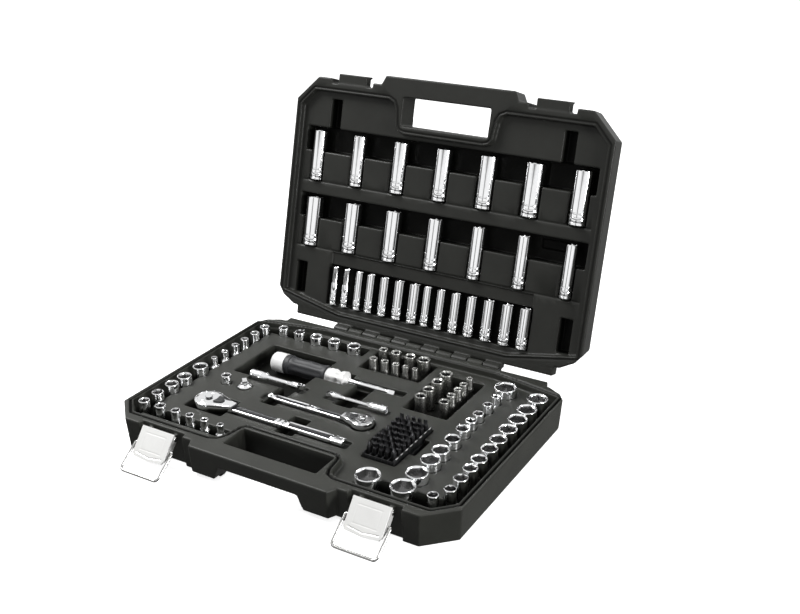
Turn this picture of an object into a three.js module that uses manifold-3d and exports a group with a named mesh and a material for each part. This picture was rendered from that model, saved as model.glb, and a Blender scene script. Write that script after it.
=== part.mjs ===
// A socket wrench set in a moulded carrying case. The case's two halves turn on one long pin at the back and
// close with two draw latches at the front. The base tray holds two ratchets, a spinner handle, two extension
// bars, an adapter, a bit holder and the short sockets; the lid holds three rows of deep sockets.
//
// Millimetres, +X to the right, +Y to the back, +Z up. Shapes are drawn in the closed case's own frame, where
// y = 0 is the front edge and z = 0 the plane where the halves meet. The root group then moves that frame, so
// that the part's origin is the middle of the base's underside.

import * as THREE from "three";
import { mergeVertices } from "three/addons/utils/BufferGeometryUtils.js";
import Module from "manifold-3d";

const wasm = await Module();
wasm.setup();

// ---------------------------------------------------------------- driving dimensions

const GAP = 0.3; // clearance between touching pieces
const SMALLEST_DETAIL = 0.05; // slivers thinner than this are merged away

const CASE = {
  halfWidth: 215, depth: 298, middleY: 149, draft: 2.4,
  baseHeight: 38, lidHeight: 32, trayDepth: 8.5, lidPanelDepth: 8.5,
};
const HANDLE = {
  bulge: 11, frontHalf: 87, rootHalf: 92.5,
  holeHalf: 59, holeFront: 12.5, holeBack: 47.5, gripHalf: 50, gripRamp: 10, gripThickness: 17,
  liftHalf: 95, liftBack: 5, liftZ: -33,
};
const HINGE = {
  y: 315.5, z: -4.2, openDegrees: 104, knuckles: 11, pitch: 21.4, radius: 5.5,
  boreRadius: 2.9, pinRadius: 2.4, flangeHalf: 183, flangeEdge: 309, flangeThickness: 13,
  coverHalf: 117,
};
const LATCH = {
  x: 135, recessHalf: 30, recessDepth: 6.5, pivotY: -1, pivotZ: -6,
  leverHalf: 22, leverTop: 4.5, leverBottom: -31.2, plateFront: -5, sheet: 1.2,
  pinRadius: 1.6, pinHoleRadius: 2.1, lugRadius: 3.4, tiltDegrees: 40,
  bailY: -1, bailZ: -14, bailLength: 34.5, bailHalf: 25.6, wireRadius: 1.5, bailDegrees: 14,
  catchHalf: 20.5, catchTop: 12.7, catchLip: 16.5, catchFront: -6.3, catchLipBack: -4,
};

const SOCKET_TOP = 1.5; // the standing sockets' upper ends, above the rim plane
const SOCKET_LENGTH = 26;
const SOCKET_SIDES = 8;
const POCKET_DEPTH = SOCKET_LENGTH - SOCKET_TOP + GAP;
const STRIP_DEPTH = POCKET_DEPTH + 0.25; // the strips' trenches and the open channels are cut a little deeper
const CHANNEL_DEPTH = POCKET_DEPTH + 0.5;
const NOSE_LENGTH = 10; // small sockets have a slim nose on a wider drive end
const DRIVE_RADIUS = 6;

// Standing sockets, in straight rows: the row's fixed coordinate, then [place along the row, radius].
const STANDING_ROWS = [
  { name: "socket_row_left", along: "y", fixed: -193, finish: "chrome",
    sockets: [[39.5, 6.5], [62, 7], [86, 8], [108, 8.7], [137, 9.2], [163, 3.8], [183, 4.2], [204, 4.6],
      [223, 4.9], [244, 5.6], [265, 6.2]] },
  { name: "socket_row_front", along: "x", fixed: 39.5, finish: "chrome",
    sockets: [[-169, 6.3], [-147, 5.4], [-126.5, 5], [-106, 4.6], [-84, 3.9]] },
  { name: "socket_row_back", along: "x", fixed: 275, finish: "chrome",
    sockets: [[-170, 6.6], [-145, 7.3], [-119, 8], [-92, 8.3], [-63, 8.6]] },
  { name: "socket_row_inner", along: "y", fixed: 147, finish: "chrome",
    sockets: [[35, 13.3], [63, 12], [91, 11], [113, 10], [139, 9], [163, 8], [182, 6.4], [200, 6.3],
      [223.5, 5.6], [244.5, 5], [269.5, 13]] },
  { name: "socket_row_outer", along: "y", fixed: 189.5, finish: "chrome",
    sockets: [[54, 6.6], [76, 7.7], [97, 8.1], [117, 8.9], [140.5, 9.4], [162, 9.7], [186, 10.4], [210.5, 11],
      [235, 11.3], [263.5, 12]] },
  { name: "star_socket_row_back", along: "x", fixed: 285, finish: "satin",
    sockets: [[-26, 6], [-8, 6.6], [12, 7.1], [31, 8]] },
  { name: "star_socket_row_front", along: "x", fixed: 258, finish: "satin",
    sockets: [[-24, 5.2], [-8, 4.9], [7, 4.6], [21, 4], [34, 3.7]] },
  { name: "star_socket_row_left", along: "y", fixed: 72, finish: "satin",
    sockets: [[204.5, 7], [223, 7.1], [244.5, 7.7], [265.5, 7.9]] },
  { name: "star_socket_row_right", along: "y", fixed: 101.5, finish: "satin",
    sockets: [[205.5, 6.3], [222.5, 5.4], [238.5, 5], [252.5, 4.8], [268.5, 4]] },
  { name: "socket_front_large", along: "y", fixed: 106.5, finish: "chrome", sockets: [[35, 13.8]] },
  { name: "socket_front_corner", along: "y", fixed: 180, finish: "chrome", sockets: [[36, 6]] },
  { name: "socket_by_adapter", along: "y", fixed: -151.5, finish: "chrome", sockets: [[134, 6]] },
];

// Deep sockets lie along Y in the lid, drive end towards the hinge, all with the same lowest line.
const DEEP = { low: 2.8, pitch: 60, length: 63.5, driveEnd: 14 };
const DEEP_ROWS = [
  { name: "deep_socket_upper", mouthY: 67.5, radii: [9.1, 9.2, 10, 10.2, 11.2, 12, 11.3] },
  { name: "deep_socket_middle", mouthY: 153.5, radii: [11.8, 11.2, 11, 10, 9, 8.3, 7.6] },
];
const SMALL_DEEP = { mouthY: 238.5, length: 49.5, webY: 262, webWidth: 3, webHeight: 3 };
const SMALL_DEEP_ROWS = {
  deep_socket_lower_metric: [[-133, 5], [-116, 5.2], [-97, 5.5], [-79.5, 5.9], [-59.5, 6.5], [-38, 7.1],
    [-16, 7.7]],
  deep_socket_lower_inch: [[3, 5.6], [22, 6], [42.5, 6.6], [64, 7], [87, 7.5], [111.5, 7.8], [135, 7.6]],
};

const LARGE_RATCHET = { x: -137, y: 85, scale: 1, reach: 183 };
const SMALL_RATCHET = { x: 41, y: 129.5, scale: 0.76, reach: 129 };

// Finger wells and pockets in the base tray, each [x from, x to, y from, y to, depth].
const TRAY_POCKETS = {
  spinnerPocket: [-163, -68, 163, 244, 25],
  spinnerNeck: [-69, -27.5, 198, 226, 24.5],
  spinnerShaft: [-28, 47, 206, 218, 16],
  extensionWell: [-89, -68, 116, 163, 24],
  longExtension: [-137.5, -57, 154.5, 169.5, 13],
  shortExtension: [-31.5, 53.5, 158.5, 170, 12],
  shaftWell: [-14.5, 10, 153.5, 206, 24],
  largeRatchetHead: [-160, -107, 67, 104, 25.5],
  largeRatchetBar: [-107, 52, 77.5, 92.5, 13],
  largeRatchetWell: [-36, -12.5, 71, 109, 24],
  smallRatchetBar: [-94, 28, 123, 136.5, 12],
  starPocket: [-38, 46, 246, 293, CHANNEL_DEPTH],
  starWell: [59, 116, 185, 279, CHANNEL_DEPTH],
  bitHolderPocket: [72.5, 114.5, 74, 159, 21],
  bitHolderWell: [65, 122, 103, 136, 19],
};

// ---------------------------------------------------------------- finishes

const finish = (color, roughness, metalness) =>
  new THREE.MeshStandardMaterial({ color, roughness, metalness });
const FINISH = {
  caseMoulding: finish(0x33342f, 0.55, 0),
  chrome: finish(0xd9dadb, 0.14, 1),
  satin: finish(0x8f8577, 0.42, 1),
  latchSteel: finish(0xdcdcd8, 0.34, 1),
  wire: finish(0xcfcfcc, 0.25, 1),
  blackGrip: finish(0x1d1e20, 0.6, 0),
  whitePlastic: finish(0xf1f1ee, 0.45, 0),
  bitHolder: finish(0x141517, 0.5, 0),
  bitSteel: finish(0x1b1c1e, 0.38, 0.8),
  switchPlastic: finish(0x4b4c4e, 0.5, 0.2),
};

// ---------------------------------------------------------------- solids

// A closed three.js geometry as a manifold solid.
function solid(geometry) {
  const loose = geometry.index ? geometry.toNonIndexed() : geometry.clone();
  loose.deleteAttribute("normal");
  loose.deleteAttribute("uv");
  const merged = mergeVertices(loose, 1e-4);
  const corners = Array.from(merged.index.array);
  const triVerts = [];
  for (let i = 0; i < corners.length; i += 3) {
    const [a, b, c] = corners.slice(i, i + 3);
    if (a !== b && b !== c && c !== a) triVerts.push(a, b, c);
  }
  return new wasm.Manifold(new wasm.Mesh({
    numProp: 3,
    vertProperties: merged.attributes.position.array,
    triVerts: new Uint32Array(triVerts),
  }));
}

const join = (first, ...others) => others.reduce((sum, next) => sum.add(next), first);
const cut = (first, ...others) => others.reduce((rest, next) => rest.subtract(next), first);

function box(x0, x1, y0, y1, z0, z1) {
  const block = new THREE.BoxGeometry(x1 - x0, y1 - y0, z1 - z0);
  return solid(block.translate((x0 + x1) / 2, (y0 + y1) / 2, (z0 + z1) / 2));
}

// An outline of [x, y] points, extruded from z0 to z1.
function prismGeometry(points, z0, z1) {
  const shape = new THREE.Shape(points.map(([x, y]) => new THREE.Vector2(x, y)));
  const prism = new THREE.ExtrudeGeometry(shape, { depth: z1 - z0, bevelEnabled: false });
  return prism.translate(0, 0, z0);
}
const prism = (points, z0, z1) => solid(prismGeometry(points, z0, z1));

// The same outline drawn in the Y-Z plane and extruded from x0 to x1.
function sidePrism(points, x0, x1) {
  const geometry = prismGeometry(points, 0, x1 - x0);
  geometry.rotateY(Math.PI / 2).rotateX(Math.PI / 2);
  return solid(geometry.translate(x0, 0, 0));
}

function cylinder(direction, radius, from, to, [a, b], sides) {
  const rod = new THREE.CylinderGeometry(radius, radius, to - from, sides);
  const middle = (from + to) / 2;
  if (direction === "x") rod.rotateZ(Math.PI / 2).translate(middle, a, b);
  if (direction === "y") rod.translate(a, middle, b);
  if (direction === "z") rod.rotateX(Math.PI / 2).translate(a, b, middle);
  return solid(rod);
}

// A turned solid: [radius, height] points from the axis back to the axis, about +Z.
function turned(profile, sides) {
  const lathe = (points) => {
    const outline = points.map(([radius, height]) => new THREE.Vector2(radius, height));
    return solid(new THREE.LatheGeometry(outline, sides).rotateX(Math.PI / 2));
  };
  const made = lathe(profile);
  return made.volume() > 0 ? made : lathe([...profile].reverse());
}

const mirrored = (half) => [...half, ...half.map(([x, y]) => [-x, y]).reverse()];

function mesh(name, body, material) {
  const data = body.simplify(SMALLEST_DETAIL).getMesh();
  const geometry = new THREE.BufferGeometry();
  geometry.setAttribute("position", new THREE.BufferAttribute(data.vertProperties, 3));
  geometry.setIndex(new THREE.BufferAttribute(data.triVerts, 1));
  geometry.computeVertexNormals();
  const made = new THREE.Mesh(geometry, material);
  made.name = name;
  return made;
}

// ---------------------------------------------------------------- case halves

const caseOutline = mirrored([
  [HANDLE.frontHalf, -HANDLE.bulge], [HANDLE.rootHalf, 0], [185, 0], [CASE.halfWidth, 30],
  [CASE.halfWidth, 277], [207, 288], [HINGE.flangeHalf + 6, CASE.depth],
]);
const trayOutline = mirrored([
  [54, 57], [61.5, 55], [66, 49], [69, 27.5], [72.5, 20.5], [80, 17], [188, 17], [207, 37], [207, 280],
  [120, 297],
]);

// One half of the case as a block whose outer end is narrowed by the mould's draft.
function caseBlock(meetingZ, outerZ) {
  const geometry = prismGeometry(caseOutline, Math.min(meetingZ, outerZ), Math.max(meetingZ, outerZ));
  const place = geometry.attributes.position;
  for (let i = 0; i < place.count; i++) {
    if (Math.abs(place.getZ(i) - outerZ) > 1e-3) continue;
    place.setX(i, place.getX(i) * (1 - CASE.draft / CASE.halfWidth));
    place.setY(i, CASE.middleY + (place.getY(i) - CASE.middleY) * (1 - CASE.draft / CASE.middleY));
  }
  return solid(geometry);
}

// The handle's opening, and the room for fingers on the outer side of its grip bar.
function handleOpening(outerZ, gripZ) {
  const reach = outerZ * 1.1;
  const low = Math.min(reach, -reach);
  const hole = box(-HANDLE.holeHalf, HANDLE.holeHalf, HANDLE.holeFront, HANDLE.holeBack, low, -low);
  const ramped = mirrored([[HANDLE.gripHalf, gripZ], [HANDLE.gripHalf + HANDLE.gripRamp, reach]]);
  const wedge = prismGeometry(ramped, -HANDLE.holeFront, HANDLE.bulge + 5).rotateX(Math.PI / 2);
  return join(hole, solid(wedge));
}

// Knuckles alternate along the pin, the outermost on the lid.
function knuckles(first, arm) {
  const made = [];
  for (let i = first; i < HINGE.knuckles; i += 2) {
    const middle = (i - (HINGE.knuckles - 1) / 2) * HINGE.pitch;
    const [x0, x1] = [middle - HINGE.pitch / 2 + GAP, middle + HINGE.pitch / 2 - GAP];
    made.push(cylinder("x", HINGE.radius, x0, x1, [HINGE.y, HINGE.z], 12), box(x0, x1, arm.front, HINGE.y,
      arm.low, arm.high));
  }
  return made;
}
const pinBore = cylinder("x", HINGE.boreRadius, -150, 150, [HINGE.y, HINGE.z], 12);

function baseShell() {
  const { baseHeight, trayDepth } = CASE;
  const top = 1;
  const flange = box(-HINGE.flangeHalf, HINGE.flangeHalf, CASE.depth - 8, HINGE.flangeEdge,
    -HINGE.flangeThickness, -0.5);
  let shell = join(caseBlock(0, -baseHeight), flange, ...knuckles(1, { front: HINGE.flangeEdge - 1,
    low: HINGE.z - HINGE.radius, high: -0.7 }));
  const underHandle = box(-HANDLE.liftHalf, HANDLE.liftHalf, -HANDLE.bulge - 1, HANDLE.liftBack,
    -baseHeight - 1, HANDLE.liftZ);
  shell = cut(shell, pinBore, handleOpening(-baseHeight, -HANDLE.gripThickness), underHandle);
  shell = cut(shell, prism(trayOutline, -trayDepth, top));
  const channels = [
    [[-207, 38], [-188.6, 20], [-188.6, 281], [-207, 278]],
    [[186, 18], [207, 38], [207, 279], [186, 284]],
    [[-200, 31], [-76, 31], [-76, 47], [-200, 47]],
    [[93, 24], [195, 24], [195, 46.5], [93, 46.5]],
    [[-200, 272], [-50, 272], [-50, 293], [-136, 293], [-200, 280]],
  ].map((outline) => prism(outline, -CHANNEL_DEPTH, 0));
  const pockets = Object.values(TRAY_POCKETS).map(
    ([x0, x1, y0, y1, depth]) => box(x0, x1, y0, y1, -depth, 0));
  shell = cut(shell, ...channels, ...pockets, ...smallHeadPocket(), ...standingPockets(), adapterPocket());
  for (const side of [-1, 1]) shell = addLatchSeat(shell, side * LATCH.x);
  return shell;
}

// The small ratchet's pocket follows its round head and tapered neck.
function smallHeadPocket() {
  const { x, y } = SMALL_RATCHET;
  const neck = [[x - 4, y + 11.5], [x - 29, y + 6.8], [x - 29, y - 6.8], [x - 4, y - 11.5]];
  return [cylinder("z", 14.2, -21, 0, [x, y], 20), prism(neck, -12.6, 0)];
}

function addLatchSeat(shell, x) {
  const { recessHalf, recessDepth, pivotY, pivotZ, lugRadius } = LATCH;
  const recess = box(x - recessHalf, x + recessHalf, -5, recessDepth, -CASE.baseHeight - 1, 1);
  const lugs = [-19.5, 15].map((from) => join(
    cylinder("x", lugRadius, x + from, x + from + 4.5, [pivotY, pivotZ], 10),
    box(x + from, x + from + 4.5, pivotY, recessDepth + 1, pivotZ - lugRadius, pivotZ + lugRadius - 1.2)));
  const bore = cylinder("x", LATCH.pinHoleRadius, x - 25, x + 25, [pivotY, pivotZ], 10);
  return cut(join(cut(shell, recess), ...lugs), bore);
}

function lidShell() {
  const { lidHeight, lidPanelDepth } = CASE;
  const flange = box(-HINGE.flangeHalf, HINGE.flangeHalf, CASE.depth - 8, HINGE.flangeEdge,
    0.5, HINGE.flangeThickness);
  let shell = join(caseBlock(GAP, lidHeight), flange);
  shell = cut(shell, handleOpening(lidHeight, HANDLE.gripThickness));
  shell = cut(shell, prism(trayOutline, 0, lidPanelDepth), ...lidPockets());
  for (const side of [-1, 1]) shell = addCatch(shell, side * LATCH.x);
  const cover = box(-HINGE.coverHalf, HINGE.coverHalf, HINGE.flangeEdge - 1, HINGE.y + HINGE.radius,
    HINGE.z + HINGE.radius + 0.5, HINGE.z + HINGE.radius + 3);
  const brace = box(-HINGE.coverHalf, HINGE.coverHalf, HINGE.flangeEdge - 1, HINGE.flangeEdge + 1.5,
    1, HINGE.flangeThickness - 3);
  shell = join(shell, cover, brace, ...knuckles(0, { front: HINGE.flangeEdge + GAP, low: HINGE.z,
    high: HINGE.flangeThickness - 3 }));
  return cut(shell, pinBore);
}

function addCatch(shell, x) {
  const { catchHalf, catchTop, catchLip, catchFront, catchLipBack, recessHalf, recessDepth } = LATCH;
  const recess = box(x - recessHalf, x + recessHalf, -5, recessDepth, -1, CASE.lidHeight + 1);
  const profile = [[catchFront, 1], [recessDepth + 1, 1], [recessDepth + 1, catchTop],
    [catchLipBack, catchTop], [catchLipBack, catchLip], [catchFront, catchLip]];
  return join(cut(shell, recess), sidePrism(profile, x - catchHalf, x + catchHalf));
}

function lidPockets() {
  const troughHalf = 199;
  const troughWidth = 31;
  const made = [];
  for (const { mouthY, radii } of DEEP_ROWS) {
    const front = mouthY - 4.5;
    made.push(box(-troughHalf, troughHalf, front, front + troughWidth, 0, 26));
    radii.forEach((radius, i) => {
      const x = (i - 3) * DEEP.pitch;
      made.push(box(x - radius - 1, x + radius + 1, front, mouthY + DEEP.length + 1.5, 0,
        DEEP.low + 2 * radius + 0.5));
    });
  }
  const lowerBack = SMALL_DEEP.mouthY + SMALL_DEEP.length + 1.5;
  made.push(box(-144, 144, SMALL_DEEP.mouthY - 2, lowerBack, 0, 19.5), box(-142, 142, 219.5, 237, 0, 11));
  for (const side of [-1, 1]) {
    made.push(box(side * 159 - 8, side * 159 + 8, 26, 70, 0, 24));
    made.push(box(side * 187 - 8, side * 187 + 8, 240, 282, 0, 24));
  }
  made.push(box(137, 169, 154, 166, 0, 29));
  return made;
}

// ---------------------------------------------------------------- sockets

const hexPrism = (acrossFlats, z0, z1) => turned(
  [[0, z0], [acrossFlats / Math.sqrt(3), z0], [acrossFlats / Math.sqrt(3), z1], [0, z1]], 6);

// A standing socket with its mouth up. Small sizes are stepped.
function standingSocket(radius) {
  const foot = SOCKET_TOP - SOCKET_LENGTH;
  const step = SOCKET_TOP - NOSE_LENGTH;
  const stepped = radius < DRIVE_RADIUS - 0.3;
  const profile = stepped
    ? [[0, foot], [DRIVE_RADIUS, foot], [DRIVE_RADIUS, step - 2], [radius, step], [radius, SOCKET_TOP],
      [0, SOCKET_TOP]]
    : [[0, foot], [radius, foot], [radius, SOCKET_TOP], [0, SOCKET_TOP]];
  return cut(turned(profile, SOCKET_SIDES), hexPrism(radius * 1.45, SOCKET_TOP - 9, SOCKET_TOP + 1));
}

const spot = ({ along, fixed }, place) => (along === "y" ? [fixed, place, 0] : [place, fixed, 0]);
const bodyRadius = (radius) => Math.max(radius, DRIVE_RADIUS);

// A row's sockets, joined at their feet by the strip that seats them.
function socketRow(row) {
  const foot = SOCKET_TOP - SOCKET_LENGTH;
  const bodies = row.sockets.map(([place, radius]) => standingSocket(radius).translate(spot(row, place)));
  if (bodies.length === 1) return bodies[0];
  return join(...bodies, rowStrip(row, 1.5, foot, foot + 2));
}

function rowStrip({ along, fixed, sockets }, half, z0, z1) {
  const [from, to] = [sockets[0][0], sockets.at(-1)[0]];
  return along === "y"
    ? box(fixed - half, fixed + half, from, to, z0, z1)
    : box(from, to, fixed - half, fixed + half, z0, z1);
}

function standingPockets() {
  const holes = [];
  for (const row of STANDING_ROWS) {
    for (const [place, radius] of row.sockets) {
      const reach = bodyRadius(radius) + 0.9;
      holes.push(turned([[0, -POCKET_DEPTH], [reach, -POCKET_DEPTH], [reach, 0], [0, 0]], SOCKET_SIDES)
        .translate(spot(row, place)));
    }
    if (row.sockets.length > 1) holes.push(rowStrip(row, 2.2, -STRIP_DEPTH, 0));
  }
  return holes;
}

// A deep socket lying along +Y: hexagon mouth at the front, wider drive end at the back.
function deepSocket(radius, length, mouthY, x) {
  const mouthDepth = 14;
  const drive = 4.2;
  const body = turned([[0, 0], [radius - 0.4, 0], [radius - 0.4, length - DEEP.driveEnd],
    [radius, length - DEEP.driveEnd + 1], [radius, length], [0, length]], SOCKET_SIDES);
  const square = turned([[0, length - 9], [drive, length - 9], [drive, length + 1], [0, length + 1]], 4);
  return cut(body, hexPrism(radius * 1.4, -1, mouthDepth), square)
    .rotate([-90, 0, 0]).translate([x, mouthY, DEEP.low + radius]);
}

function lowerRows() {
  const { length, mouthY, webY, webWidth, webHeight } = SMALL_DEEP;
  return Object.entries(SMALL_DEEP_ROWS).map(([name, sockets]) => {
    const bodies = sockets.map(([x, radius]) => deepSocket(radius, length, mouthY, x));
    const webZ = DEEP.low + sockets[0][1];
    const web = box(sockets[0][0], sockets.at(-1)[0], webY, webY + webWidth, webZ, webZ + webHeight);
    return mesh(name, join(...bodies, web), FINISH.chrome);
  });
}

// ---------------------------------------------------------------- ratchets

// A ratchet lying on its back along +X, drive square down, head centre at the origin of its plan and the
// tray's rim plane at z = 0. k scales the plan of the large one.
function ratchetParts(prefix, k, reach) {
  const head = 17 * k;
  const [headLow, headTop] = [-14 * k, -1.5];
  const barZ = -7.8;
  const bar = (x0, x1, halfWidth, halfHeight) => solid(
    new THREE.CylinderGeometry(1, 1, x1 - x0, 10).rotateZ(Math.PI / 2)
      .scale(1, halfWidth, halfHeight).translate((x0 + x1) / 2, 0, barZ));
  const neck = prism([[8 * k, -13 * k], [34 * k, -5.4 * k], [34 * k, 5.4 * k], [8 * k, 13 * k]],
    barZ - 3.4 * k, barZ + 3.2 * k);
  const boreRadius = 9.8 * k;
  const discRadius = 9.1 * k;
  const [discTop, boreTop] = [headLow + 7 * k, headLow + 7.5 * k];
  const body = cut(
    join(cylinder("z", head, headLow, headTop, [0, 0], 16), neck, bar(30 * k, reach, 5.2 * k, 3.7 * k),
      bar(reach - 78 * k, reach - 6 * k, 6.2 * k, 4.4 * k), bar(reach - 5 * k, reach, 6.4 * k, 4.6 * k)),
    cylinder("z", boreRadius, headLow - 1, boreTop, [0, 0], 12),
    cylinder("z", 3 * k, headLow, 0, [0, 0], 8),
    cylinder("z", 2.1 * k, headTop - 3, 0, [11.5 * k, 0], 8));
  const squareSide = 9.5 * k;
  const drive = join(cylinder("z", discRadius, headLow, discTop, [0, 0], 12),
    box(-squareSide / 2, squareSide / 2, -squareSide / 2, squareSide / 2, headLow - 10 * k, headLow));
  const button = join(cylinder("z", 2.4 * k, headTop - 1.6, headTop + 1.5, [0, 0], 8),
    cylinder("z", 4.2 * k, headTop + 1.3, headTop + 2.5, [0, 0], 12));
  const lever = join(cylinder("z", 1.6 * k, headTop - 2.6, headTop + 0.6, [11.5 * k, 0], 8),
    prism([[7, -7.5], [15, -6], [21, -2.5], [21, 2.5], [15, 6], [7, 7.5]].map(([px, py]) => [px * k, py * k]),
      headTop + 0.3, headTop + 2.2));
  return [
    mesh(prefix + "_body", body, FINISH.chrome),
    mesh(prefix + "_drive", drive, FINISH.chrome),
    mesh(prefix + "_release_button", button, FINISH.chrome),
    mesh(prefix + "_direction_lever", lever, FINISH.switchPlastic),
  ];
}

function placedRatchet(prefix, { x, y, scale, reach }, turn) {
  const group = new THREE.Group();
  group.add(...ratchetParts(prefix, scale, reach));
  group.position.set(x, y, 0);
  group.rotation.z = turn;
  return group;
}

// ---------------------------------------------------------------- spinner, extensions, adapter, bits

function spinner() {
  const [x0, y, z] = [-139, 212, -11];
  const [capEnd, gripEnd, collarEnd, tip] = [20, 79.5, 110, 172];
  const along = (body) => body.rotate([0, 90, 0]).translate([x0, y, z]);
  const cap = turned([[0, 0], [9, 0], [12, 3], [12.4, capEnd - GAP], [0, capEnd - GAP]], 14);
  const grip = turned([[0, capEnd], [12.2, capEnd], [12.4, capEnd + 8], [11, capEnd + 14],
    [11.6, gripEnd - 4], [11.6, gripEnd - GAP], [0, gripEnd - GAP]], 14);
  const collar = turned([[0, gripEnd], [10.4, gripEnd], [12.3, gripEnd + 7], [11, gripEnd + 16],
    [11.4, gripEnd + 22], [5, collarEnd - GAP], [0, collarEnd - GAP]], 12);
  const half = 3.1;
  const shaft = join(turned([[0, collarEnd], [3.1, collarEnd], [3.1, tip - 9], [0, tip - 9]], 12),
    box(-half * 0.8, half * 0.8, -half * 0.8, half * 0.8, tip - 10, tip));
  return [
    mesh("spinner_end_cap", along(cap), FINISH.whitePlastic),
    mesh("spinner_grip", along(grip), FINISH.blackGrip),
    mesh("spinner_collar", along(collar), FINISH.whitePlastic),
    mesh("spinner_shaft", along(shaft), FINISH.chrome),
  ];
}

// An extension bar from its drive square towards its socket end.
function extension(name, length, radius, headRadius, square, x, y, direction) {
  const socketLength = 22;
  const profile = [[0, 8], [radius + 1.2, 8], [radius + 1.2, 17], [radius, 20],
    [radius, length - socketLength - 3], [headRadius, length - socketLength], [headRadius, length],
    [0, length]];
  const half = square / 2;
  const bar = join(turned(profile, 14), box(-half, half, -half, half, 0, 9));
  const mouth = box(-half, half, -half, half, length - 9, length + 1);
  const turn = direction > 0 ? 90 : -90;
  return mesh(name, cut(bar, mouth).rotate([0, turn, 0]).translate([x, y, -5]), FINISH.chrome);
}

const ADAPTER = { x: -126, y: 136, bodyRadius: 8.2, low: -17.5 };
const adapterPocket = () => cylinder("z", ADAPTER.bodyRadius + 0.8, ADAPTER.low - GAP, 0,
  [ADAPTER.x, ADAPTER.y], 14);

function adapter() {
  const { x, y, bodyRadius: wide, low } = ADAPTER;
  const body = turned([[0, low], [wide, low], [wide, -6.5], [4.6, -5], [4.6, -3.5], [0, -3.5]], 16);
  const stud = box(-3.1, 3.1, -3.1, 3.1, -4, 1.5);
  return mesh("drive_adapter", join(body, stud).translate([x, y, 0]), FINISH.chrome);
}

const BITS = {
  rows: 8, columns: 5, pitchX: 7.4, pitchY: 9.6, x: 93.5, y: 116.5, radius: 3.3, top: 6.5, low: -15,
};
const BIT_HOLDER = { half: 19.5, halfLength: 41, top: -4, low: -20 };

function bitHolder() {
  const { half, halfLength, top, low } = BIT_HOLDER;
  const block = box(BITS.x - half, BITS.x + half, BITS.y - halfLength, BITS.y + halfLength, low, top);
  const slots = [];
  for (let column = 0; column < BITS.columns; column++) {
    const x = BITS.x + (column - (BITS.columns - 1) / 2) * BITS.pitchX;
    const length = ((BITS.rows - 1) / 2) * BITS.pitchY + BITS.radius + 0.5;
    slots.push(box(x - 3.6, x + 3.6, BITS.y - length, BITS.y + length, BITS.low - GAP, top + 1));
  }
  return mesh("bit_holder", cut(block, ...slots), FINISH.bitHolder);
}

// One column of screwdriver bits, each a hexagon shank with a round tip, joined at the foot.
function bitRow(column) {
  const x = BITS.x + (column - (BITS.columns - 1) / 2) * BITS.pitchX;
  const length = ((BITS.rows - 1) / 2) * BITS.pitchY;
  const bodies = [];
  for (let i = 0; i < BITS.rows; i++) {
    const { radius, low, top } = BITS;
    const bit = turned([[0, low], [radius, low], [radius, top - 5], [radius * 0.6, top], [0, top]], 6);
    bodies.push(bit.translate([x, BITS.y - length + i * BITS.pitchY, 0]));
  }
  const strip = box(x - 3.3, x + 3.3, BITS.y - length - 3.5, BITS.y + length + 3.5, BITS.low, BITS.low + 2);
  return mesh("bit_row_" + (column + 1), join(...bodies, strip), FINISH.bitSteel);
}

// ---------------------------------------------------------------- latches

// The lever in its closed place, with the pivot at the origin: a pressed plate with two side flanges.
function latchLever() {
  const { leverHalf, leverTop, leverBottom, plateFront, sheet, bailY, bailZ } = LATCH;
  const plateBack = plateFront + sheet;
  const plate = box(-leverHalf, leverHalf, plateFront, plateBack, leverBottom, leverTop);
  const flangeOutline = [[plateBack - 0.5, leverTop - 1], [2.5, 2.5], [3.4, -1], [3.4, bailZ - 1],
    [1.5, bailZ - 5], [plateBack - 0.5, leverBottom + 3]];
  const flanges = [-leverHalf, leverHalf - sheet].map((x) => sidePrism(flangeOutline, x, x + sheet));
  const pinHole = cylinder("x", LATCH.pinHoleRadius, -leverHalf - 1, leverHalf + 1, [0, 0], 10);
  const bailHole = cylinder("x", LATCH.wireRadius + 0.5, -leverHalf - 1, leverHalf + 1, [bailY, bailZ], 6);
  return cut(join(plate, ...flanges), pinHole, bailHole);
}

// The wire bail pointing straight down from its pivot at the origin, its ends bent into the flanges.
function latchBail() {
  const { bailHalf, bailLength, wireRadius, leverHalf } = LATCH;
  const bend = 5;
  const inside = leverHalf - 2.4;
  const route = new THREE.CurvePath();
  const v = (x, z) => new THREE.Vector3(x, 0, z);
  const corner = (from, by, to) => route.add(new THREE.QuadraticBezierCurve3(from, by, to));
  route.add(new THREE.LineCurve3(v(-inside, 0), v(-bailHalf + 1.6, 0)));
  corner(v(-bailHalf + 1.6, 0), v(-bailHalf, 0), v(-bailHalf, -1.6));
  route.add(new THREE.LineCurve3(v(-bailHalf, -1.6), v(-bailHalf, -bailLength + bend)));
  corner(v(-bailHalf, -bailLength + bend), v(-bailHalf, -bailLength), v(-bailHalf + bend, -bailLength));
  route.add(new THREE.LineCurve3(v(-bailHalf + bend, -bailLength), v(bailHalf - bend, -bailLength)));
  corner(v(bailHalf - bend, -bailLength), v(bailHalf, -bailLength), v(bailHalf, -bailLength + bend));
  route.add(new THREE.LineCurve3(v(bailHalf, -bailLength + bend), v(bailHalf, -1.6)));
  corner(v(bailHalf, -1.6), v(bailHalf, 0), v(bailHalf - 1.6, 0));
  route.add(new THREE.LineCurve3(v(bailHalf - 1.6, 0), v(inside, 0)));
  const section = new THREE.Shape(
    new THREE.EllipseCurve(0, 0, wireRadius, wireRadius, 0, 2 * Math.PI).getPoints(6).slice(0, 6));
  return solid(new THREE.ExtrudeGeometry(section, { extrudePath: route, steps: 26 }));
}

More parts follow.
